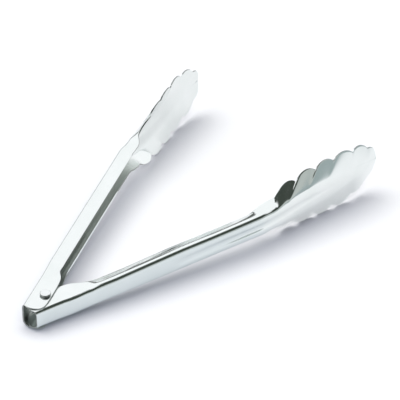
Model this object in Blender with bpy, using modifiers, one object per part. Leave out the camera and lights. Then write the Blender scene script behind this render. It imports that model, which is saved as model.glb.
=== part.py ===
"""Scalloped kitchen tongs: two stamped sheet arms on one rivet, pushed open by a torsion spring.

The tongs lie on their side. The hinge axis is Z, and the arms open to both sides of +X.
The origin is the centre of the lower rivet head's flat face.
"""
import math

import bmesh
import bpy
from mathutils import Vector

MM = 0.001

# The whole tool
HINGE_TO_CREASE = 187.0 * MM
SPOON_LENGTH = 100.0 * MM
HALF_OPENING = math.radians(18.4)
SHEET = 1.0 * MM
FIT = 0.3 * MM
OVERRUN = 1.0 * MM

# The channel of the handle; its back stands out a little further than between the ears
HANDLE_HALF = 10.4 * MM
HANDLE_STEP = 0.7 * MM
FLANGE_LENGTH = 11.3 * MM
FLANGE_TURN = math.radians(112.0)
FOLD_RADIUS = 2.6 * MM
BACK_TO_RIVET = 11.3 * MM
BACK_CROWN = 0.25 * MM

# The bead pressed in along the middle of the back; its taper and its end are shares of the spoon's length
BEAD_START = 97.0 * MM
BEAD_RUN_IN = 8.0 * MM
BEAD_HALF = 3.2 * MM
BEAD_TIP_HALF = 0.8 * MM
BEAD_SINK = 0.9 * MM
BEAD_FLANK_SHARE = 0.5
BEAD_TAPER_SHARE = 0.13
BEAD_END_SHARE = 0.59

# The hinge ears; the inner arm's are drawn in by one sheet and the fit, and turn into its flanges later
EAR_LAND = 1.7 * MM
EAR_REAR = 14.0 * MM
EAR_HEEL = 2.2 * MM
EAR_HEEL_FADE = 5.1 * MM
EAR_SLOPE_START = 18.2 * MM
EAR_HALF = 8.9 * MM
NECK_HALF = EAR_HALF - SHEET - FIT
OUTER_HEEL_RADIUS = 6.5 * MM
OUTER_SLOPE_END = 27.0 * MM
OUTER_SLOPE_DEPTH = 10.9 * MM
OUTER_TWIST_END = 42.0 * MM
INNER_HEEL_RADIUS = 8.8 * MM
INNER_SLOPE_END = 28.5 * MM
INNER_SLOPE_DEPTH = 9.7 * MM
INNER_TWIST_END = 38.0 * MM
OUTER_EARS = {"half": EAR_HALF, "heel_radius": OUTER_HEEL_RADIUS, "slope_end": OUTER_SLOPE_END,
              "slope_depth": OUTER_SLOPE_DEPTH, "twist_end": OUTER_TWIST_END, "full_length_share": 0.2}
INNER_EARS = {"half": NECK_HALF, "heel_radius": INNER_HEEL_RADIUS, "slope_end": INNER_SLOPE_END,
              "slope_depth": INNER_SLOPE_DEPTH, "twist_end": INNER_TWIST_END, "full_length_share": 1.0}

# The rivet and what it carries
SHANK_RADIUS = 2.4 * MM
HEAD_RADIUS = 3.8 * MM
HEAD_HEIGHT = 1.7 * MM
HEAD_EDGE = 0.7 * MM
HEAD_EDGE_STEPS = 4
SLEEVE_WALL = 0.7 * MM
WIRE_RADIUS = 0.7 * MM
COIL_GAP = 0.55 * MM
COIL_TURNS = 4
POINTS_PER_TURN = 10
LEG_REACH = 30.0 * MM
ROUND_STEPS = 32

# The spoon
OPENING_RUN = 19.0 * MM
SPOON_DEPTH = 19.6 * MM
SPOON_HALF = 20.0 * MM
PINCH_TURN = math.radians(56.0)
WING_FOLD_RADIUS = 12.0 * MM
SCALLOP_RISE = 4.1 * MM
FIRST_SCALLOP_RISE = 4.4 * MM
FLUTE_DEPTH = 0.35 * MM
LEAST_WING = 0.6 * MM
TIP_ROUNDNESS = 2.3

# Derived places: where the flanges start to open, where they end in a crease, and the lines of the hinge
PINCH = HINGE_TO_CREASE
HINGE_TO_TIP = HINGE_TO_CREASE + SPOON_LENGTH
FLANGE_OPENS = PINCH - OPENING_RUN
HEAD_UNDER = EAR_HALF + FIT
MID_HEIGHT = HEAD_UNDER + HEAD_HEIGHT
EAR_HOLE_RADIUS = SHANK_RADIUS + FIT
EAR_DEPTH = BACK_TO_RIVET + EAR_HOLE_RADIUS + EAR_LAND
SLEEVE_INNER = SHANK_RADIUS + FIT
SLEEVE_OUTER = SLEEVE_INNER + SLEEVE_WALL
SLEEVE_HALF = NECK_HALF - SHEET - FIT
COIL_RADIUS = SLEEVE_OUTER + FIT + WIRE_RADIUS
COIL_PITCH = 2 * WIRE_RADIUS + COIL_GAP

# Notches between the scallops, as shares of the spoon's length from the crease to the tip
NOTCH_SHARES = [0.204, 0.39, 0.562, 0.75, 0.912]
NOTCHES = [PINCH + SPOON_LENGTH * share for share in NOTCH_SHARES]

# How deep the bead is, as (share of its length, share of its sink)
BEAD_SINK_SHARES = [(0.0, 0.0), (0.05, 0.45), (0.2, 0.62), (0.33, 1.0), (0.45, 1.0), (0.6, 0.5),
                    (0.8, 0.3), (1.0, 0.0)]

# How the section changes, as (share of the spoon's length, share of a named size)
SPINE_DEPTH_SHARES = [(-0.15, 0.0), (0.0, 0.077), (0.2, 0.255), (0.39, 0.403), (0.57, 0.526),
                      (0.75, 0.673), (0.91, 0.847), (1.0, 1.0)]
BACK_HALF_SHARES = [(-0.17, 1.0), (0.0, 0.79), (0.2, 0.86), (0.39, 0.845), (0.57, 0.768), (0.75, 0.596),
                    (0.91, 0.346), (1.0, 0.086)]
NOTCH_HALF_SHARES = [(0.0, 0.65), (0.204, 0.905), (0.39, 0.985), (0.562, 1.0), (0.75, 0.915),
                     (0.912, 0.65)]
WING_TURN_SHARES = [(0.0, 1.0), (0.03, 0.8), (0.08, 0.66), (0.185, 0.59), (0.223, 0.46), (0.375, 0.39),
                    (0.405, 0.33), (0.547, 0.28), (0.577, 0.235), (0.75, 0.18), (0.912, 0.23), (1.0, 0.18)]
WING_FOLD_SHARES = [(0.0, 0.0), (0.07, 0.22), (0.204, 0.61), (0.75, 1.0)]
WING_ROOT_SHARES = [(0.0, 0.0), (0.204, 0.09), (0.39, 0.29), (0.562, 0.49), (0.75, 0.705),
                    (0.912, 0.895), (1.0, 1.0)]

# The same along the opening run, from the plain handle to the crease
OPENING_TURN_SHARES = [(0.0, 0.0), (0.368, 0.321), (0.737, 0.518), (0.895, 0.732), (1.0, 1.0)]
OPENING_LENGTH_SHARES = [(0.0, 1.0), (0.368, 0.99), (0.737, 0.97), (0.895, 0.84), (1.0, 0.7)]

# Where the section is set, as shares of the heel, the twist, the plain stretches and the opening run
HEEL_PLACE_SHARES = [0.0, 0.12, 0.34, 0.65, 1.0]
TWIST_PLACE_SHARES = [0.0, 0.2, 0.5, 1.0]
PLAIN_PLACE_SHARES = [0.0, 0.06, 0.3, 0.65]
BEAD_PLACE_SHARES = [0.0, 0.3, 0.55, 0.8]
OPENING_PLACE_SHARES = [0.0, 0.18, 0.37, 0.53, 0.68, 0.87]
STEPS_PER_SCALLOP = 7
STEPS_AT_TIP = 6
TIP_END_SHARE = 0.995
CROWDED_SHARE = 0.6

# How many points the half section has on the back, round the fold and on the flange, and how wide each
# of these may grow where the section is narrow
BACK_POINT_SHARES = [0.55, 0.8]
FOLD_STEPS = 3
FLANGE_POINT_SHARES = [0.33, 0.67, 1.0]
MOST_FOLD_OF_BACK_SHARE = 0.8
MOST_FOLD_OF_FLANGE_SHARE = 0.45
MOST_BEAD_SHARE = 0.6


def clear_scene():
    for old in list(bpy.data.objects):
        bpy.data.objects.remove(old, do_unlink=True)


def make_collection(name):
    group = bpy.data.collections.new(name)
    bpy.context.scene.collection.children.link(group)
    return group


def make_metal(name, color, roughness):
    metal = bpy.data.materials.new(name)
    metal.use_nodes = True
    shader = metal.node_tree.nodes["Principled BSDF"]
    shader.inputs["Base Color"].default_value = (*color, 1.0)
    shader.inputs["Metallic"].default_value = 1.0
    shader.inputs["Roughness"].default_value = roughness
    return metal


def smooth_share(share):
    share = min(max(share, 0.0), 1.0)
    return share * share * (3.0 - 2.0 * share)


def along(keys, place):
    """Value at a place between hand-set keys, with no overshoot (monotone cubic)."""
    if place <= keys[0][0]:
        return keys[0][1]
    if place >= keys[-1][0]:
        return keys[-1][1]
    slopes = []
    for (x0, y0), (x1, y1) in zip(keys, keys[1:]):
        slopes.append((y1 - y0) / (x1 - x0))
    tangents = [slopes[0]]
    for before, after in zip(slopes, slopes[1:]):
        same_way = before * after > 0
        tangents.append(2.0 * before * after / (before + after) if same_way else 0.0)
    tangents.append(slopes[-1])
    for index, ((x0, y0), (x1, y1)) in enumerate(zip(keys, keys[1:])):
        if x0 <= place <= x1:
            span = x1 - x0
            t = (place - x0) / span
            start = (1 + 2 * t) * (1 - t) ** 2 * y0 + t * (1 - t) ** 2 * span * tangents[index]
            end = t * t * (3 - 2 * t) * y1 + t * t * (t - 1) * span * tangents[index + 1]
            return start + end
    return keys[-1][1]


def in_spoon(place):
    """Share of the spoon's length from the crease; below 0 on the handle."""
    return (place - PINCH) / SPOON_LENGTH


def back_half(place):
    return HANDLE_HALF * along(BACK_HALF_SHARES, in_spoon(place))


def back_step(place):
    """How far the back stands out in the handle, from the ears' slope to the flanges' opening."""
    out = smooth_share((place - EAR_SLOPE_START) / (OUTER_TWIST_END - EAR_SLOPE_START))
    return HANDLE_STEP * out * (1.0 - smooth_share((place - FLANGE_OPENS) / OPENING_RUN))


def spine_depth(place):
    return SPOON_DEPTH * along(SPINE_DEPTH_SHARES, in_spoon(place))


def wing_root(place):
    """Place on the back where the wing that ends at this place starts: the wings fan out."""
    return PINCH + SPOON_LENGTH * along(WING_ROOT_SHARES, in_spoon(place))


def wing_turn(place):
    return PINCH_TURN * along(WING_TURN_SHARES, in_spoon(place))


def scallop_at(place):
    """Share of the way through the scallop that holds this place, its width and its rise."""
    starts = [PINCH] + NOTCHES[:-1]
    for start, end in zip(starts, NOTCHES):
        if start <= place <= end:
            rise = FIRST_SCALLOP_RISE if start == PINCH else SCALLOP_RISE
            return (place - start) / (end - start), end - start, rise
    return 0.0, 1.0, 0.0


def arc_rise(share, width, rise):
    """Height of a circular arc over its chord."""
    radius = (width * width / 4 + rise * rise) / (2 * rise)
    across = (share - 0.5) * width
    return math.sqrt(radius * radius - across * across) - (radius - rise)


def notch_half_width(place):
    """Half width of the spoon on the line of its notches, and of the lobe at its tip."""
    if place <= NOTCHES[-1]:
        return SPOON_HALF * along(NOTCH_HALF_SHARES, in_spoon(place))
    tip_share = (place - NOTCHES[-1]) / (HINGE_TO_TIP - NOTCHES[-1])
    roundness = (1.0 - tip_share ** TIP_ROUNDNESS) ** (1 / TIP_ROUNDNESS)
    return SPOON_HALF * NOTCH_HALF_SHARES[-1][1] * roundness


def bead_half_width(place):
    """Half width of the stiffening bead along the middle of the back, which tapers in the spoon."""
    taper = (in_spoon(place) - BEAD_TAPER_SHARE) / (BEAD_END_SHARE - BEAD_TAPER_SHARE)
    return BEAD_HALF + (BEAD_TIP_HALF - BEAD_HALF) * min(max(taper, 0.0), 1.0)


def bead_depth(place, across):
    half = bead_half_width(place)
    bead_end = PINCH + SPOON_LENGTH * BEAD_END_SHARE
    sunk = BEAD_SINK * along(BEAD_SINK_SHARES, (place - BEAD_START) / (bead_end - BEAD_START))
    return sunk * smooth_share((half - across) / (half * BEAD_FLANK_SHARE))


def ear_length(place, ears):
    """Depth of the flat ear: its rounded heel, its straight edge and its slope to the handle."""
    radius = ears["heel_radius"]
    heel_start = -EAR_REAR + radius
    if place < heel_start:
        back = (heel_start - place) / radius
        return EAR_DEPTH - radius * (1.0 - math.sqrt(max(0.0, 1.0 - back * back)))
    slope_share = (place - EAR_SLOPE_START) / (ears["slope_end"] - EAR_SLOPE_START)
    return EAR_DEPTH + (ears["slope_depth"] - EAR_DEPTH) * min(max(slope_share, 0.0), 1.0)


def channel_values(place, ears):
    """Half width of the back, turn of the flange and its length, in the hinge end and the handle."""
    slope_end = ears["slope_end"]
    growth = smooth_share((place - slope_end) / (ears["twist_end"] - slope_end))
    half = back_half(place) - (HANDLE_HALF - ears["half"]) * (1.0 - growth)
    if place < slope_end:
        return half, math.pi / 2, ear_length(place, ears)
    if place < ears["twist_end"]:
        twist = (place - slope_end) / (ears["twist_end"] - slope_end)
        turn = math.pi / 2 + (FLANGE_TURN - math.pi / 2) * smooth_share(twist)
        lengthening = min(twist / ears["full_length_share"], 1.0)
        return half, turn, ears["slope_depth"] + (FLANGE_LENGTH - ears["slope_depth"]) * lengthening
    opening = (place - FLANGE_OPENS) / OPENING_RUN
    turn = FLANGE_TURN + (PINCH_TURN - FLANGE_TURN) * along(OPENING_TURN_SHARES, opening)
    return half, turn, FLANGE_LENGTH * along(OPENING_LENGTH_SHARES, opening)


def wing_values(place):
    """Half width of the back, turn of the wing and its length, in the spoon."""
    half = back_half(wing_root(place))
    turn = wing_turn(place)
    edge = max(notch_half_width(place), half + LEAST_WING)
    return half, turn, (edge - half) / math.cos(turn)


def half_section(place, ears):
    """Points (depth below the back, height, share along the flange) from the middle to the edge."""
    if place < PINCH:
        half, turn, length = channel_values(place, ears)
        radius = FOLD_RADIUS
        root = place
    else:
        half, turn, length = wing_values(place)
        radius = FOLD_RADIUS + (WING_FOLD_RADIUS - FOLD_RADIUS) * along(WING_FOLD_SHARES, in_spoon(place))
        root = wing_root(place)
    most_fold = min(MOST_FOLD_OF_BACK_SHARE * half, MOST_FOLD_OF_FLANGE_SHARE * length)
    tangent = min(radius * math.tan(turn / 2), most_fold)
    radius = tangent / math.tan(turn / 2)
    flat = half - tangent
    bead_foot = min(bead_half_width(root), MOST_BEAD_SHARE * flat)
    points = [(0.0, 0.0, 0.0), (0.0, bead_foot * (1.0 - BEAD_FLANK_SHARE), 0.0), (0.0, bead_foot, 0.0)]
    for share in BACK_POINT_SHARES:
        points.append((0.0, bead_foot + (flat - bead_foot) * share, 0.0))
    for step in range(FOLD_STEPS + 1):
        angle = turn * step / FOLD_STEPS
        share = tangent / length * step / FOLD_STEPS
        points.append((radius * (1 - math.cos(angle)), flat + radius * math.sin(angle), share))
    for share in FLANGE_POINT_SHARES:
        distance = tangent + (length - tangent) * share
        points.append((distance * math.sin(turn), half + distance * math.cos(turn), distance / length))
    return points


def spread(start, end, shares):
    return [start + (end - start) * share for share in shares]


def stations(ears):
    """Places along the arm where the section is set, close together where it changes fast."""
    places = spread(-EAR_REAR, -EAR_REAR + ears["heel_radius"], HEEL_PLACE_SHARES)
    places += spread(0.0, EAR_SLOPE_START, (0.0, 0.5))
    places += spread(EAR_SLOPE_START, ears["slope_end"], (0.0, 0.5))
    places += spread(ears["slope_end"], ears["twist_end"], TWIST_PLACE_SHARES[:-1])
    places += spread(ears["twist_end"], BEAD_START, PLAIN_PLACE_SHARES)
    places += spread(BEAD_START, BEAD_START + BEAD_RUN_IN, (0.0, 0.5))
    places += spread(BEAD_START + BEAD_RUN_IN, FLANGE_OPENS, BEAD_PLACE_SHARES)
    places += spread(FLANGE_OPENS, PINCH, OPENING_PLACE_SHARES)
    scallops = [PINCH] + NOTCHES
    for start, end in zip(scallops, scallops[1:]):
        for step in range(STEPS_PER_SCALLOP):
            even_share = step / STEPS_PER_SCALLOP
            crowded_share = 0.5 - 0.5 * math.cos(math.pi * even_share)
            share = even_share + (crowded_share - even_share) * CROWDED_SHARE
            places.append(start + (end - start) * share)
    for step in range(STEPS_AT_TIP + 1):
        share = math.sin(math.pi / 2 * step / STEPS_AT_TIP)
        places.append(NOTCHES[-1] + (HINGE_TO_TIP - NOTCHES[-1]) * TIP_END_SHARE * share)
    return places


def arm_point(place, depth, height, share):
    """A point of the arm's outer face: along the arm, outwards from the rivet, and up."""
    x = place
    rise = 0.0
    if place > PINCH:
        root = wing_root(place)
        x = root + (place - root) * share
    if PINCH < place < NOTCHES[-1]:
        through, width, scallop_rise = scallop_at(place)
        lobe = arc_rise(through, width, scallop_rise)
        depth += lobe * share ** 2 * math.sin(wing_turn(place))
        height += lobe * share ** 2 * math.cos(wing_turn(place))
        rise = FLUTE_DEPTH * lobe / scallop_rise * share ** 1.5
    if place < 0:
        heel = smooth_share(depth / EAR_HEEL_FADE)
        x -= EAR_HEEL * heel * smooth_share(-place / EAR_REAR)
    if share == 0.0:
        rise += BACK_CROWN * (1.0 - (height / HANDLE_HALF) ** 2) - bead_depth(x, height)
    return Vector((x, BACK_TO_RIVET + back_step(x) - spine_depth(x) - depth + rise, height))


def arm_skin(ears):
    """Loft of the half sections: the outer face of one half of the stamping, open at the middle."""
    skin = bmesh.new()
    rows = []
    for place in stations(ears):
        points = half_section(place, ears)
        rows.append([skin.verts.new(arm_point(place, *point)) for point in points])
    for row, next_row in zip(rows, rows[1:]):
        for low, high, next_high, next_low in zip(row, row[1:], next_row[1:], next_row):
            skin.faces.new((low, high, next_high, next_low))
    return skin


def rivet_hole_cutter(group):
    bpy.ops.mesh.primitive_cylinder_add(vertices=ROUND_STEPS, radius=EAR_HOLE_RADIUS,
                                        depth=2 * (EAR_HALF + OVERRUN))
    cutter = bpy.context.object
    cutter.name = "rivet_hole"
    cutter.location = (0, 0, MID_HEIGHT)
    cutter.hide_render = True
    cutter.display_type = "WIRE"
    for owner in list(cutter.users_collection):
        owner.objects.unlink(cutter)
    group.objects.link(cutter)
    return cutter


def make_arm(name, ears, group, metal, cutter):
    """One stamped arm, with its origin on the hinge axis at mid height."""
    mesh = bpy.data.meshes.new(name)
    skin = arm_skin(ears)
    skin.to_mesh(mesh)
    skin.free()
    mesh.materials.append(metal)
    mesh.shade_smooth()
    mesh.set_sharp_from_angle(angle=math.radians(35))
    arm = bpy.data.objects.new(name, mesh)
    group.objects.link(arm)
    mirror = arm.modifiers.new("other_half", "MIRROR")
    mirror.use_axis = (False, False, True)
    mirror.merge_threshold = 0.01 * MM
    sheet = arm.modifiers.new("sheet", "SOLIDIFY")
    sheet.thickness = SHEET
    sheet.offset = -1.0
    hole = arm.modifiers.new("rivet_hole", "BOOLEAN")
    hole.operation = "DIFFERENCE"
    hole.solver = "EXACT"
    hole.object = cutter
    arm.location = (0, 0, MID_HEIGHT)
    return arm


def turned(name, profile, group, metal):
    """A turned piece: a profile of (radius, height) from the top down, spun round Z."""
    mesh = bpy.data.meshes.new(name)
    edges = [(index, index + 1) for index in range(len(profile) - 1)]
    mesh.from_pydata([(radius, 0.0, height) for radius, height in profile], edges, [])
    mesh.materials.append(metal)
    piece = bpy.data.objects.new(name, mesh)
    group.objects.link(piece)
    screw = piece.modifiers.new("turned", "SCREW")
    screw.steps = ROUND_STEPS
    screw.render_steps = ROUND_STEPS
    screw.use_merge_vertices = True
    screw.merge_threshold = 0.01 * MM
    screw.use_smooth_shade = True
    piece.location = (0, 0, MID_HEIGHT)
    return piece


def head_profile():
    """Upper half of the rivet: a flat head with a rounded rim, then its underside and the shank."""
    top = HEAD_UNDER + HEAD_HEIGHT
    points = [(0.0, top)]
    for step in range(HEAD_EDGE_STEPS + 1):
        angle = math.pi / 2 * step / HEAD_EDGE_STEPS
        points.append((HEAD_RADIUS - HEAD_EDGE + HEAD_EDGE * math.sin(angle),
                       top - HEAD_EDGE + HEAD_EDGE * math.cos(angle)))
    return points + [(HEAD_RADIUS, HEAD_UNDER), (SHANK_RADIUS, HEAD_UNDER)]


def make_rivet(group, metal):
    upper = head_profile()
    lower = [(radius, -height) for radius, height in reversed(upper)]
    return turned("pivot_rivet", upper + lower, group, metal)


def make_sleeve(group, metal):
    profile = [(SLEEVE_INNER, SLEEVE_HALF), (SLEEVE_OUTER, SLEEVE_HALF), (SLEEVE_OUTER, -SLEEVE_HALF),
               (SLEEVE_INNER, -SLEEVE_HALF), (SLEEVE_INNER, SLEEVE_HALF)]
    return turned("spacer_sleeve", profile, group, metal)


def spring_points():
    """Wire line: in along the inner arm's leg, up round the coil, out along the outer arm's leg."""
    inside_face = BACK_TO_RIVET - SHEET
    leg_end = inside_face - FIT - WIRE_RADIUS
    leg_angle = math.asin((leg_end - COIL_RADIUS) / LEG_REACH)
    leg_way = HALF_OPENING + leg_angle
    swept = 2 * math.pi * COIL_TURNS + (math.pi - 2 * leg_way)
    steps = round(POINTS_PER_TURN * swept / (2 * math.pi))
    half_coil = COIL_PITCH * swept / (4 * math.pi)
    coil = []
    for step in range(steps + 1):
        share = step / steps
        angle = -math.pi / 2 - leg_way - swept * share
        coil.append(Vector((COIL_RADIUS * math.cos(angle), COIL_RADIUS * math.sin(angle),
                            half_coil * (2 * share - 1))))
    leg_out = Vector((math.cos(leg_way), math.sin(leg_way), 0))
    leg_in = Vector((math.cos(leg_way), -math.sin(leg_way), 0))
    start = [coil[0] + leg_in * LEG_REACH, coil[0] + leg_in * LEG_REACH / 2]
    end = [coil[-1] + leg_out * LEG_REACH / 2, coil[-1] + leg_out * LEG_REACH]
    return start + coil + end


def least_turn_gap(points):
    """Clear space between neighbouring turns of the coil."""
    gaps = []
    turns = points[2:-2]
    for first in range(len(turns)):
        for second in range(first + POINTS_PER_TURN - 2, len(turns)):
            gaps.append((turns[first] - turns[second]).length - 2 * WIRE_RADIUS)
    return min(gaps)


def make_spring(group, metal):
    """The torsion spring: one unbroken wire."""
    points = spring_points()
    print("spring: clear space between turns, mm:", round(least_turn_gap(points) / MM, 2))
    wire = bpy.data.curves.new("torsion_spring", "CURVE")
    wire.dimensions = "3D"
    wire.bevel_depth = WIRE_RADIUS
    wire.bevel_resolution = 1
    wire.use_fill_caps = True
    line = wire.splines.new("POLY")
    line.points.add(len(points) - 1)
    for knot, point in zip(line.points, points):
        knot.co = (*point, 1.0)
    wire.materials.append(metal)
    spring = bpy.data.objects.new("torsion_spring", wire)
    group.objects.link(spring)
    spring.location = (0, 0, MID_HEIGHT)
    return spring


def main():
    clear_scene()
    tongs = make_collection("kitchen_tongs")
    cutters = make_collection("cutters")
    polished = make_metal("polished_steel", (0.78, 0.79, 0.78), 0.12)
    rivet_steel = make_metal("rivet_steel", (0.80, 0.80, 0.80), 0.2)
    spring_steel = make_metal("spring_steel", (0.45, 0.46, 0.46), 0.3)
    cutter = rivet_hole_cutter(cutters)
    outer_arm = make_arm("outer_arm", OUTER_EARS, tongs, polished, cutter)
    outer_arm.rotation_euler.z = HALF_OPENING
    inner_arm = make_arm("inner_arm", INNER_EARS, tongs, polished, cutter)
    inner_arm.rotation_euler = (math.pi, 0, -HALF_OPENING)
    make_rivet(tongs, rivet_steel)
    make_sleeve(tongs, rivet_steel)
    make_spring(tongs, spring_steel)


main()
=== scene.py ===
import math

import bpy
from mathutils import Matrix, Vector


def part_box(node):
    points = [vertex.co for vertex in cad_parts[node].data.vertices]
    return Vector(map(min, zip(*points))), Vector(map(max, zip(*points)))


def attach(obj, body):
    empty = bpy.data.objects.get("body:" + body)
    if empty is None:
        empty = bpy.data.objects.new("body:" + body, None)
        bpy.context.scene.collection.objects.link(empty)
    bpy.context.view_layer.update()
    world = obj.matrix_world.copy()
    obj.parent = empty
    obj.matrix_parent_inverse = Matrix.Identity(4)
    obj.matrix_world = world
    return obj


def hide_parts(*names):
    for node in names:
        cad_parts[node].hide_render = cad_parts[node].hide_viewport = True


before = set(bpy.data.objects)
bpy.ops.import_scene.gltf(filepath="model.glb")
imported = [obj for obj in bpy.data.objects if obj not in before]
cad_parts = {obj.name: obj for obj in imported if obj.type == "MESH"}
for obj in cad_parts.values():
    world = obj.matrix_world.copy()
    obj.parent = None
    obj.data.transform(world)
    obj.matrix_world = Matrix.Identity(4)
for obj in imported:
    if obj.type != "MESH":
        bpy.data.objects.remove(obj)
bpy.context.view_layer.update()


# small helpers
meshing = {
    "mergeDistance": 0.00001,    # m, under which a copy's points are joined
    "quadLean": 30,              # degrees, the most that two triangles of one quad may lean
    "quadSkew": 60,              # degrees, the most that a quad's corners may be off square
    "smoothAngle": 40,           # degrees, past which an edge is shaded sharp
}


def linearColour(hexText):
    values = [int(hexText[place:place + 2], 16) / 255 for place in (1, 3, 5)]
    return [v / 12.92 if v <= 0.04045 else ((v + 0.055) / 1.055) ** 2.4 for v in values] + [1.0]


def addNode(tree, kind, settings=None, values=None, links=None):
    # settings are the node's own, values go on its sockets, links come from other nodes
    node = tree.nodes.new(kind)
    for name, value in (settings or {}).items():
        setattr(node, name, value)
    for name, value in (values or {}).items():
        node.inputs[name].default_value = value
    for name, (source, output) in (links or {}).items():
        tree.links.new(source.outputs[output], node.inputs[name])
    return node


def setStops(ramp, stops):
    # stops are (place, hex colour), one for each of the ramp's two ends
    for element, (place, colour) in zip(ramp.color_ramp.elements, stops):
        element.position = place
        element.color = linearColour(colour)


def selectOnly(piece):
    bpy.ops.object.select_all(action="DESELECT")
    piece.select_set(True)
    bpy.context.view_layer.objects.active = piece


def editAll(piece):
    selectOnly(piece)
    bpy.ops.object.mode_set(mode="EDIT")
    bpy.ops.mesh.select_all(action="SELECT")


def smoothShading(piece):
    selectOnly(piece)
    bpy.ops.object.shade_smooth_by_angle(angle=math.radians(meshing["smoothAngle"]))


def applyModifier(piece, kind, settings):
    selectOnly(piece)
    modifier = piece.modifiers.new(kind.title(), kind)
    for name, value in settings.items():
        setattr(modifier, name, value)
    bpy.ops.object.modifier_apply(modifier=modifier.name)


def roundOff(piece, look):
    # subdivides the piece and then rounds the edges that stayed sharp
    applyModifier(piece, "SUBSURF", {"levels": look["smoothing"], "render_levels": look["smoothing"]})
    applyModifier(piece, "BEVEL", {
        "width": look["edgeEase"], "segments": look["easeSteps"], "limit_method": "ANGLE",
        "angle_limit": math.radians(look["sharpAngle"])})


def copyNode(nodeName, pieceName):
    # the copy's loose triangles are joined, and turned back into the quads they came from
    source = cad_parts[nodeName]
    piece = bpy.data.objects.new(pieceName, source.data.copy())
    bpy.context.collection.objects.link(piece)
    piece.data.name = pieceName
    piece.data.materials.clear()
    editAll(piece)
    bpy.ops.mesh.remove_doubles(threshold=meshing["mergeDistance"])
    bpy.ops.mesh.tris_convert_to_quads(
        face_threshold=math.radians(meshing["quadLean"]),
        shape_threshold=math.radians(meshing["quadSkew"]))
    bpy.ops.object.mode_set(mode="OBJECT")
    return piece


# the photograph's camera
camera = {
    "place": (-0.9577, -0.8685, 1.0856),
    "elevation": 37.40,      # degrees looked down
    "azimuth": -52.43,       # degrees turned from looking along +Y
    "lens": 222.5,           # mm
    "sensor": 36,            # mm wide
    "farthest": 50,          # m
}
bpy.ops.object.camera_add(
    location=camera["place"],
    rotation=(math.radians(90 - camera["elevation"]), 0, math.radians(camera["azimuth"])))
photoCamera = bpy.context.object
photoCamera.name = "photoCamera"
photoCamera.data.lens = camera["lens"]
photoCamera.data.sensor_width = camera["sensor"]
photoCamera.data.clip_end = camera["farthest"]
bpy.context.scene.camera = photoCamera
print("camera placed")


# the metals
working = {
    "lineDetail": 3.0,           # detail and roughness of the noise that draws the fine lines
    "lineRoughness": 0.6,
    "smearDetail": 4.0,
    "smearRoughness": 0.55,
    "smearRange": (0.3, 0.7),    # where most of the smears' noise lies
    "reliefDepth": 0.0001,       # m
}


def metalMaterial(name, look):
    # a worked metal: its colour in soft smears, and fine lines from the wheel, the press or the die
    material = bpy.data.materials.new(name)
    material.use_nodes = True
    tree = material.node_tree
    tree.nodes.clear()
    place = addNode(tree, "ShaderNodeTexCoord")
    lines = addNode(tree, "ShaderNodeMapping", values={"Scale": look["lineScale"]},
                    links={"Vector": (place, "Object")})
    polish = addNode(tree, "ShaderNodeTexNoise",
                     values={"Scale": 1.0, "Detail": working["lineDetail"],
                             "Roughness": working["lineRoughness"]},
                     links={"Vector": (lines, "Vector")})
    smears = addNode(tree, "ShaderNodeTexNoise",
                     values={"Scale": look["smearScale"], "Detail": working["smearDetail"],
                             "Roughness": working["smearRoughness"]},
                     links={"Vector": (place, "Object")})
    tone = addNode(tree, "ShaderNodeValToRGB", links={"Fac": (smears, "Fac")})
    setStops(tone, look["tones"])
    least, most = working["smearRange"]
    gloss = addNode(tree, "ShaderNodeMapRange",
                    values={"From Min": least, "From Max": most,
                            "To Min": look["roughness"][0], "To Max": look["roughness"][1]},
                    links={"Value": (smears, "Fac")})
    grain = addNode(tree, "ShaderNodeMath", {"operation": "MULTIPLY_ADD"},
                    {1: look["lineGloss"]}, {0: (polish, "Fac"), 2: (gloss, "Result")})
    relief = addNode(tree, "ShaderNodeBump",
                     values={"Strength": look["relief"], "Distance": working["reliefDepth"]},
                     links={"Height": (polish, "Fac")})
    steel = addNode(tree, "ShaderNodeBsdfPrincipled", values={"Metallic": 1.0},
                    links={"Base Color": (tone, "Color"), "Roughness": (grain, "Value"),
                           "Normal": (relief, "Normal")})
    addNode(tree, "ShaderNodeOutputMaterial", links={"Surface": (steel, "BSDF")})
    return material


def shadeAndDullWhereMarked(material, attribute, look):
    # where the mesh's attribute is 1 the metal is painted darker, as painted shade inside the channel,
    # and keeps its rougher finish from the rolling mill
    tree = material.node_tree
    steel = next(node for node in tree.nodes if node.type == "BSDF_PRINCIPLED")
    mark = addNode(tree, "ShaderNodeAttribute", {"attribute_name": attribute})
    tone, grain = [steel.inputs[name].links[0].from_node for name in ("Base Color", "Roughness")]
    # a Mix node takes colours at 6 and 7 and gives them at 2, and numbers at 2 and 3 and gives them at 0
    millToneAndPaintedShade = addNode(tree, "ShaderNodeMix", {"data_type": "RGBA"}, {7: linearColour(look["colour"])},
                       {0: (mark, "Fac"), 6: (tone, "Color")})
    millGrain = addNode(tree, "ShaderNodeMix", {}, {3: look["roughness"]},
                        {0: (mark, "Fac"), 2: (grain, "Value")})
    tree.links.new(millToneAndPaintedShade.outputs[2], steel.inputs["Base Color"])
    tree.links.new(millGrain.outputs[0], steel.inputs["Roughness"])


# 18/10 stainless sheet, stamped and then polished on a wheel: a clear mirror with a slight milky haze
polishedStainlessSheet = metalMaterial("polishedStainlessSheet", {
    "lineScale": (60, 1400, 1400),    # 0.7 mm apart, coarser than the real ones so that they show
    "smearScale": 55,                 # 18 mm wide
    "tones": [(0.25, "#e9eeec"), (0.75, "#f1f4f3")],
    "roughness": (0.08, 0.14),
    "lineGloss": 0.03,
    "relief": 0.02,
})
# the wheel can't reach inside the folded handle, which stays as dull as it left the mill and is painted
# darker there as the channel's shade
shadeAndDullWhereMarked(polishedStainlessSheet, "insideHandleShade", {
    "colour": "#c1c6c2",
    "roughness": 0.36,
})
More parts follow.
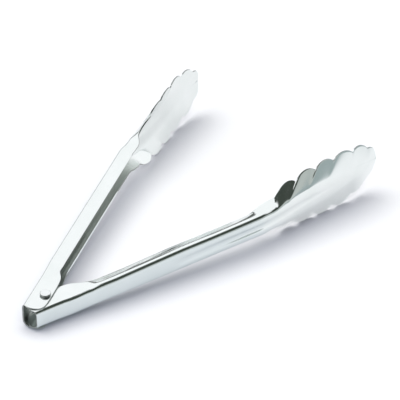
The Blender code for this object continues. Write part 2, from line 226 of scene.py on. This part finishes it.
# the sheet's cut edges: sheared and only tumbled, so grey and matt beside the mirror faces, and painted
# darker still as the shade in the gap between the ears
shearedEdgeWithPaintedShade = metalMaterial("shearedEdgeWithPaintedShade", {
    "lineScale": (500, 500, 2500),    # 0.4 mm apart up the sheet's cut
    "smearScale": 300,                # 3 mm wide
    "tones": [(0.25, "#8b8f8c"), (0.75, "#a7aba8")],
    "roughness": (0.3, 0.42),
    "lineGloss": 0.06,
    "relief": 0.1,
})
# a turned and peened rivet of the same steel
turnedStainlessRivet = metalMaterial("turnedStainlessRivet", {
    "lineScale": (900, 900, 900),     # marks of 1.1 mm, coarser than the real ones
    "smearScale": 160,                # 6 mm wide
    "tones": [(0.25, "#e6e9e8"), (0.75, "#f1f4f3")],
    "roughness": (0.12, 0.2),
    "lineGloss": 0.04,
    "relief": 0.03,
})
# hard drawn spring wire: greyer, with the die's fine lines
drawnSpringWire = metalMaterial("drawnSpringWire", {
    "lineScale": (700, 700, 700),     # marks of 1.4 mm, coarser than the real ones
    "smearScale": 220,                # 4.5 mm wide
    "tones": [(0.25, "#a9adad"), (0.75, "#c2c5c5")],
    "roughness": (0.2, 0.32),
    "lineGloss": 0.05,
    "relief": 0.05,
})
print("materials made")


# the two stamped arms
arm = {
    "halfOpening": 18.4,     # degrees from +X to either arm
    "sharpAngle": 55,        # degrees, past which an edge is the sheet's own cut edge
    "cutWidth": 0.0014,      # m, the widest that the cut edge may be
    "smoothing": 2,          # levels of subdivision
    "edgeEase": 0.00014,     # m, the cut edge's rounding
    "easeSteps": 2,
    "channelMiddle": 0.0063,         # m, from the hinge axis out to the middle of the channel
    "shadeAndDullEnds": (0.168, 0.192),      # m along the arm, where the inside's painted shade and dull finish run out into the spoon
    "outerShadeAndDullness": 1.0,            # how much painted shade and mill finish each arm's inside shows
    "innerShadeAndDullness": 0.15,
    "foldBeyond": (0.003, 0.007),    # m above or below the arm's middle, from none to all of the raising
}
# the back's lower fold, whose line is made straight
lowerFold = {
    "side": -1,                  # of the arm's middle: below it
    "across": (0.004, 0.008),    # m from the hinge axis out to the back, from none to all of the raising
    # m along the arm, and m that the fold is raised there
    "stops": [(0, 0), (0.014, -0.0008), (0.024, -0.0007), (0.041, 0.0014), (0.055, 0.0011),
              (0.08, 0.0008), (0.16, 0.0006), (0.19, 0)],
}
# the back's upper fold, which only the right arm shows
upperFold = {
    "side": 1,                   # above it
    "across": (-0.014, -0.012),
    "stops": [(0.006, 0), (0.015, -0.0006), (0.028, -0.0001), (0.041, -0.0008), (0.055, -0.0011),
              (0.068, -0.0003), (0.085, -0.0002), (0.1, 0.0003), (0.12, 0)],
}


def evenShare(value, start, end):
    return min(max((value - start) / (end - start), 0), 1)


def smoothShare(value, start, end):
    share = evenShare(value, start, end)
    return share * share * (3 - 2 * share)


def armWays(turn):
    # along the arm from the hinge, and across it to its back
    along = Vector((math.cos(turn), math.sin(turn), 0))
    outward = Vector((-math.sin(turn), math.cos(turn), 0)) * (1 if turn > 0 else -1)
    return along, outward


def markCutEdges(piece, angle, thickness):
    # creases every sharp edge, and gives strips between two of them, if narrow, the cut edge's material
    editAll(piece)
    bpy.ops.mesh.select_all(action="DESELECT")
    bpy.ops.mesh.select_mode(type="EDGE")
    bpy.ops.mesh.edges_select_sharp(sharpness=math.radians(angle))
    bpy.ops.transform.edge_crease(value=1.0)
    bpy.ops.object.mode_set(mode="OBJECT")
    sharp = {tuple(sorted(edge.vertices)) for edge in piece.data.edges if edge.select}
    points = piece.data.vertices
    for face in piece.data.polygons:
        sides = [tuple(sorted(key)) for key in face.edge_keys]
        lines = [side for side in sides if side in sharp]
        across = [(points[a].co - points[b].co).length for a, b in sides if (a, b) not in sharp]
        strip = len(sides) == 4 and len(lines) == 2 and not set(lines[0]) & set(lines[1])
        face.material_index = 1 if strip and max(across) < thickness else 0
    bpy.ops.object.mode_set(mode="EDIT")
    bpy.ops.mesh.select_mode(type="VERT")
    bpy.ops.object.mode_set(mode="OBJECT")


def markShadedInside(piece, turn, height, shadeAndDullness):
    # the inside faces the channel's middle line, and the mark, for painted shade and mill finish, fades
    # towards the spoon
    along, outward = armWays(turn)
    start, end = arm["shadeAndDullEnds"]
    marks = piece.data.attributes.new("insideHandleShade", "FLOAT", "POINT")
    for point, mark in zip(piece.data.vertices, marks.data):
        across = point.co.dot(outward) - arm["channelMiddle"]
        away = outward * across + Vector((0, 0, point.co.z - height))
        faded = 1 - evenShare(point.co.dot(along), start, end)
        mark.value = shadeAndDullness * faded if away.dot(point.normal) < 0 else 0


def straightenFold(piece, turn, height, fold):
    along, outward = armWays(turn)
    stops = fold["stops"]
    for point in piece.data.vertices:
        weight = (smoothShare(point.co.dot(outward), *fold["across"])
                  * smoothShare(fold["side"] * (point.co.z - height), *arm["foldBeyond"]))
        place = point.co.dot(along)
        for (start, low), (end, high) in zip(stops, stops[1:]):
            if start < place <= end:
                point.co.z += weight * (low + (high - low) * smoothShare(place, start, end))


def makeArm(nodeName, pieceName, bodyName, side, shadeAndDullness, folds):
    turn = side * math.radians(arm["halfOpening"])
    piece = copyNode(nodeName, pieceName)
    piece.data.materials.append(polishedStainlessSheet)
    piece.data.materials.append(shearedEdgeWithPaintedShade)
    markCutEdges(piece, arm["sharpAngle"], arm["cutWidth"])
    roundOff(piece, arm)
    low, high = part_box(nodeName)
    middle = (low.z + high.z) / 2
    for fold in folds:
        straightenFold(piece, turn, middle, fold)
    smoothShading(piece)
    markShadedInside(piece, turn, middle, shadeAndDullness)
    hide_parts(nodeName)
    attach(piece, bodyName)
    print(pieceName, "has", len(piece.data.polygons), "faces")
    return piece


outerArm = makeArm("outer_arm", "outerStampedArm", "outer_body", 1, arm["outerShadeAndDullness"], [lowerFold])
innerArm = makeArm("inner_arm", "innerStampedArm", "inner_body", -1, arm["innerShadeAndDullness"],
                   [lowerFold, upperFold])


# the rivet, the tube round it and the spring
rivet = {
    "sharpAngle": 60,        # degrees
    "smoothing": 2,          # levels of subdivision
    "edgeEase": 0.0001,      # m
    "easeSteps": 2,
    "rim": 0.8,              # faces whose normal's Z is less are the head's rim, given the cut edge's grey as painted shade round the head
}
sleeve = {
    "sharpAngle": 60,
    "smoothing": 1,
    "edgeEase": 0.0001,
    "easeSteps": 2,
}
spring = {
    "sharpAngle": 60,
    "smoothing": 2,
    "edgeEase": 0.00008,
    "easeSteps": 2,
    # the leg that lies in the outer arm
    "leg": {
        "name": "springLeg",
        "turn": 28,                 # degrees from +X
        "start": 0.0006,            # m along it, from beside the hinge axis
        "side": (0.003, 0.0056),    # m across it from the hinge axis
        "above": 0.0139,            # m up from the lower rivet head
    },
}


def closeEnd(piece):
    # fills the hole where the leg was cut off
    editAll(piece)
    bpy.ops.mesh.select_all(action="DESELECT")
    bpy.ops.mesh.select_non_manifold(extend=False, use_wire=False, use_multi_face=False,
                                     use_non_contiguous=False, use_verts=False)
    bpy.ops.mesh.edge_face_add()
    bpy.ops.object.mode_set(mode="OBJECT")
    smoothShading(piece)


def partLeg(piece, leg):
    # the leg is parted from the coil, so that it turns with the outer arm
    turn = math.radians(leg["turn"])
    along = Vector((math.cos(turn), math.sin(turn), 0))
    across = Vector((-math.sin(turn), math.cos(turn), 0))
    editAll(piece)
    bpy.ops.mesh.select_mode(type="FACE")
    bpy.ops.mesh.select_all(action="DESELECT")
    bpy.ops.object.mode_set(mode="OBJECT")
    for face in piece.data.polygons:
        inLine = leg["side"][0] < face.center.dot(across) < leg["side"][1]
        face.select = inLine and face.center.dot(along) > leg["start"] and face.center.z > leg["above"]
    bpy.ops.object.mode_set(mode="EDIT")
    bpy.ops.mesh.separate(type="SELECTED")
    bpy.ops.mesh.select_mode(type="VERT")
    bpy.ops.object.mode_set(mode="OBJECT")
    legPiece = next(other for other in bpy.context.selected_objects if other is not piece)
    legPiece.name = leg["name"]
    legPiece.data.name = leg["name"]
    closeEnd(piece)
    closeEnd(legPiece)
    print(leg["name"], "has", len(legPiece.data.polygons), "faces")
    return legPiece


def makeSmallPiece(nodeName, pieceName, look, material):
    piece = copyNode(nodeName, pieceName)
    markCutEdges(piece, look["sharpAngle"], 0)    # only creases, since no strip is that narrow
    roundOff(piece, look)
    smoothShading(piece)
    piece.data.materials.append(material)
    # the rivet head's rim gets the cut edge's grey, a painted shade round the head
    if "rim" in look:
        piece.data.materials.append(shearedEdgeWithPaintedShade)
        for face in piece.data.polygons:
            face.material_index = 1 if abs(face.normal.z) < look["rim"] else 0
    if "leg" in look:
        legPiece = partLeg(piece, look["leg"])
        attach(legPiece, "outer_body")
    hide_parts(nodeName)
    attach(piece, "inner_body")
    print(pieceName, "has", len(piece.data.polygons), "faces")


makeSmallPiece("pivot_rivet", "peenedRivet", rivet, turnedStainlessRivet)
makeSmallPiece("spacer_sleeve", "spacerTube", sleeve, turnedStainlessRivet)
makeSmallPiece("torsion_spring", "woundSpring", spring, drawnSpringWire)


# the paper that the tongs lie on
paper = {
    "size": 6.0,                     # m
    "colour": "#e2e2e2",
    "roughness": 0.95,
    "fibreScale": 900.0,             # fibres of 1.1 mm, coarser than the real ones
    "fibreDetail": 2.0,
    "fibreRelief": 0.05,
    "fibreDepth": 0.0001,            # m
    "contactShadeColour": "#c0c1c8",      # painted shade close under the metal, where the least light comes
    "contactReach": 0.034,           # m
    "contactShares": (0.3, 1.0),     # of open sky, from that colour to the plain paper
    "contactSamples": 16,
    # painted reflection: the metal mirrors the paper partly as an even glow, bright left of the middle
    # and under the spoons, and darker beside the right handle
    "leftMirrored": (0.0, 0.02),     # m across from the middle, from dark to bright
    "spoonMirrored": (0.15, 0.2),    # m along, from dark to bright
    "mirroredShares": (0.5, 0.72),   # right and left of the middle
    "darkPaintedReflection": "#cbd5dc",
    "brightPaintedReflection": "#f7f8fa",
    # the grey table beyond the paper, which only the metal mirrors
    "edge": (0.295, 0.36),           # m from the hinge to where the paper ends, towards the azimuth below
    "edgeAzimuth": -56,              # degrees
    "beyondColour": "#8d9796",
    "spoonsFrom": 0.15,              # m from the hinge, past which an arm may touch the table
}


def restingTilt():
    # the tongs lie on the rivet's head and on the lowest scallop, so the table leans by that much
    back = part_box("pivot_rivet")[0]
    slopes = [point.co.z / (point.co.x - back.x) for piece in (outerArm, innerArm)
              for point in piece.data.vertices if point.co.x > paper["spoonsFrom"]]
    return back, math.atan(min(slopes))


def paperMaterial(name):
    # matt white paper, with the grey table beyond it, painted shade close under the metal, and a painted
    # reflection glow that only the mirror faces see
    material = bpy.data.materials.new(name)
    material.use_nodes = True
    tree = material.node_tree
    tree.nodes.clear()
    place = addNode(tree, "ShaderNodeTexCoord")
    rays = addNode(tree, "ShaderNodeLightPath")
    edgeTurn = math.radians(paper["edgeAzimuth"])
    reach = addNode(tree, "ShaderNodeVectorMath", {"operation": "DOT_PRODUCT"},
                    {1: (math.cos(edgeTurn), math.sin(edgeTurn), 0)}, {0: (place, "Object")})
    beyond = addNode(tree, "ShaderNodeMapRange", {"interpolation_type": "SMOOTHSTEP"},
                     {"From Min": paper["edge"][0], "From Max": paper["edge"][1]},
                     {"Value": (reach, "Value")})
    mirroredBeyond = addNode(tree, "ShaderNodeMath", {"operation": "MULTIPLY"},
                             links={0: (beyond, "Result"), 1: (rays, "Is Glossy Ray")})
    plainTone = addNode(tree, "ShaderNodeMix", {"data_type": "RGBA"},
                        {6: linearColour(paper["colour"]), 7: linearColour(paper["beyondColour"])},
                        {0: (mirroredBeyond, "Value")})
    # painted shade: where the metal hides the sky close by, the paper's colour darkens towards the
    # contact shade colour
    openSky = addNode(tree, "ShaderNodeAmbientOcclusion", {"samples": paper["contactSamples"]},
                      {"Distance": paper["contactReach"]})
    openShare = addNode(tree, "ShaderNodeMapRange",
                        values={"From Min": paper["contactShares"][0],
                                "From Max": paper["contactShares"][1]},
                        links={"Value": (openSky, "AO")})
    shadedTone = addNode(tree, "ShaderNodeMix", {"data_type": "RGBA"},
                         {6: linearColour(paper["contactShadeColour"])},
                         {0: (openShare, "Result"), 7: (plainTone, 2)})
    fibres = addNode(tree, "ShaderNodeTexNoise",
                     values={"Scale": paper["fibreScale"], "Detail": paper["fibreDetail"]},
                     links={"Vector": (place, "Object")})
    relief = addNode(tree, "ShaderNodeBump",
                     values={"Strength": paper["fibreRelief"], "Distance": paper["fibreDepth"]},
                     links={"Height": (fibres, "Fac")})
    plain = addNode(tree, "ShaderNodeBsdfPrincipled",
                    values={"Roughness": paper["roughness"], "Specular IOR Level": 0.0},
                    links={"Base Color": (shadedTone, 2), "Normal": (relief, "Normal")})
    parts = addNode(tree, "ShaderNodeSeparateXYZ", links={"Vector": (place, "Object")})
    leftSide, spoonSide = [
        addNode(tree, "ShaderNodeMapRange", {"interpolation_type": "SMOOTHSTEP"},
                {"From Min": start, "From Max": end}, {"Value": (parts, axis)})
        for axis, (start, end) in (("Y", paper["leftMirrored"]), ("X", paper["spoonMirrored"]))]
    brightSide = addNode(tree, "ShaderNodeMath", {"operation": "MAXIMUM"},
                         links={0: (leftSide, "Result"), 1: (spoonSide, "Result")})
    paintedReflectionTone = addNode(tree, "ShaderNodeMix", {"data_type": "RGBA"},
                           {6: linearColour(paper["darkPaintedReflection"]),
                            7: linearColour(paper["brightPaintedReflection"])},
                           {0: (brightSide, "Value")})
    # painted reflection: the mirror faces see this glow in place of part of the lit paper
    even = addNode(tree, "ShaderNodeEmission", links={"Color": (paintedReflectionTone, 2)})
    rightShare, leftShare = paper["mirroredShares"]
    mirroredShare = addNode(tree, "ShaderNodeMapRange",
                            values={"To Min": rightShare, "To Max": leftShare},
                            links={"Value": (leftSide, "Result")})
    near = addNode(tree, "ShaderNodeMath", {"operation": "SUBTRACT"}, {0: 1.0}, {1: (beyond, "Result")})
    nearShare = addNode(tree, "ShaderNodeMath", {"operation": "MULTIPLY"},
                        links={0: (mirroredShare, "Result"), 1: (near, "Value")})
    glossyShare = addNode(tree, "ShaderNodeMath", {"operation": "MULTIPLY"},
                          links={0: (nearShare, "Value"), 1: (rays, "Is Glossy Ray")})
    seen = addNode(tree, "ShaderNodeMixShader",
                   links={0: (glossyShare, "Value"), 1: (plain, "BSDF"), 2: (even, "Emission")})
    addNode(tree, "ShaderNodeOutputMaterial", links={"Surface": (seen, "Shader")})
    return material


headCorner, tilt = restingTilt()
bpy.ops.mesh.primitive_plane_add(size=paper["size"], location=(0, 0, 0))
floor = bpy.context.object
floor.name = "paleFloor"
editAll(floor)
bpy.ops.transform.rotate(value=tilt, orient_axis="Y", center_override=(headCorner.x, 0, 0))
bpy.ops.object.mode_set(mode="OBJECT")
floor.data.materials.append(paperMaterial("mattWhitePaper"))
print("floor leans", round(math.degrees(tilt), 3), [round(v.co.z, 4) for v in floor.data.vertices])


# the lamps and the room
# azimuths go from +X towards +Y, elevations up from the table, and both are in degrees
studio = {
    "lamps": [
        {"name": "farLamp", "azimuth": 84, "elevation": 70, "spread": 48, "strength": 1.25,
         "colour": "#fffcf2"},
        {"name": "overheadLamp", "azimuth": 168, "elevation": 76, "spread": 104, "strength": 3.2,
         "colour": "#f3f6ff"},
    ],
    "roomStrength": 1.15,    # as the mirror faces and the camera see it
    "roomFill": 0.22,        # as it lights the floor, most of it hidden by the lamps' screens
    "roomColour": "#f7f8fa",
    # unlit sides of the room: from, full, full, to
    "unlit": [
        {"around": (-182, -181, -64, -40), "above": (-20, -8, 52, 66), "colour": "#b4b9b7"},
        {"around": (-182, -181, -54, -44), "above": (9, 14, 55, 65), "colour": "#3d433e"},
        {"around": (-70, -60, -34, -26), "above": (42, 48, 66, 74), "colour": "#3d433e"},
        {"around": (10, 30, 85, 100), "above": (3, 6, 12, 16), "colour": "#4a504c"},
    ],
}


def lampDirection(azimuth, elevation):
    a, e = math.radians(azimuth), math.radians(elevation)
    return Vector((math.cos(a) * math.cos(e), math.sin(a) * math.cos(e), math.sin(e)))


for lamp in studio["lamps"]:
    towards = lampDirection(lamp["azimuth"], lamp["elevation"])
    bpy.ops.object.light_add(type="SUN", location=towards)
    light = bpy.context.object
    light.name = lamp["name"]
    light.rotation_mode = "QUATERNION"
    light.rotation_quaternion = towards.to_track_quat("Z", "Y")
    light.data.energy = lamp["strength"]
    light.data.angle = math.radians(lamp["spread"])
    light.data.color = linearColour(lamp["colour"])[:3]
    light.visible_glossy = False      # the mirror faces show the room, not the lamps


def softBand(tree, source, places):
    # 0 outside, 1 between the two middle places, with soft sides
    start, full, last, end = [math.radians(place) for place in places]
    rise = addNode(tree, "ShaderNodeMapRange", {"interpolation_type": "SMOOTHSTEP"},
                   {"From Min": start, "From Max": full}, {"Value": source})
    fall = addNode(tree, "ShaderNodeMapRange", {"interpolation_type": "SMOOTHSTEP"},
                   {"From Min": last, "From Max": end, "To Min": 1.0, "To Max": 0.0}, {"Value": source})
    return addNode(tree, "ShaderNodeMath", {"operation": "MULTIPLY"},
                   links={0: (rise, "Result"), 1: (fall, "Result")})


room = bpy.data.worlds.new("studioRoom")
bpy.context.scene.world = room
room.use_nodes = True
roomTree = room.node_tree
roomTree.nodes.clear()
way = addNode(roomTree, "ShaderNodeTexCoord")
wayParts = addNode(roomTree, "ShaderNodeSeparateXYZ", links={"Vector": (way, "Generated")})
around = addNode(roomTree, "ShaderNodeMath", {"operation": "ARCTAN2"},
                 links={0: (wayParts, "Y"), 1: (wayParts, "X")})
above = addNode(roomTree, "ShaderNodeMath", {"operation": "ARCSINE"}, links={0: (wayParts, "Z")})
plainRoom = addNode(roomTree, "ShaderNodeRGB")
plainRoom.outputs[0].default_value = linearColour(studio["roomColour"])
roomTone = (plainRoom, 0)
for unlit in studio["unlit"]:
    sideways = softBand(roomTree, (around, "Value"), unlit["around"])
    upwards = softBand(roomTree, (above, "Value"), unlit["above"])
    shade = addNode(roomTree, "ShaderNodeMath", {"operation": "MULTIPLY"},
                    links={0: (sideways, "Value"), 1: (upwards, "Value")})
    mixed = addNode(roomTree, "ShaderNodeMix", {"data_type": "RGBA"},
                    {7: linearColour(unlit["colour"])}, {0: (shade, "Value"), 6: roomTone})
    roomTone = (mixed, 2)
roomRays = addNode(roomTree, "ShaderNodeLightPath")
roomLight = addNode(roomTree, "ShaderNodeMix",
                    values={2: studio["roomStrength"], 3: studio["roomFill"]},
                    links={0: (roomRays, "Is Diffuse Ray")})
sky = addNode(roomTree, "ShaderNodeBackground",
              links={"Color": roomTone, "Strength": (roomLight, "Result")})
addNode(roomTree, "ShaderNodeOutputWorld", links={"Surface": (sky, "Background")})

bpy.context.scene.view_settings.view_transform = "Standard"
print("studio lit")
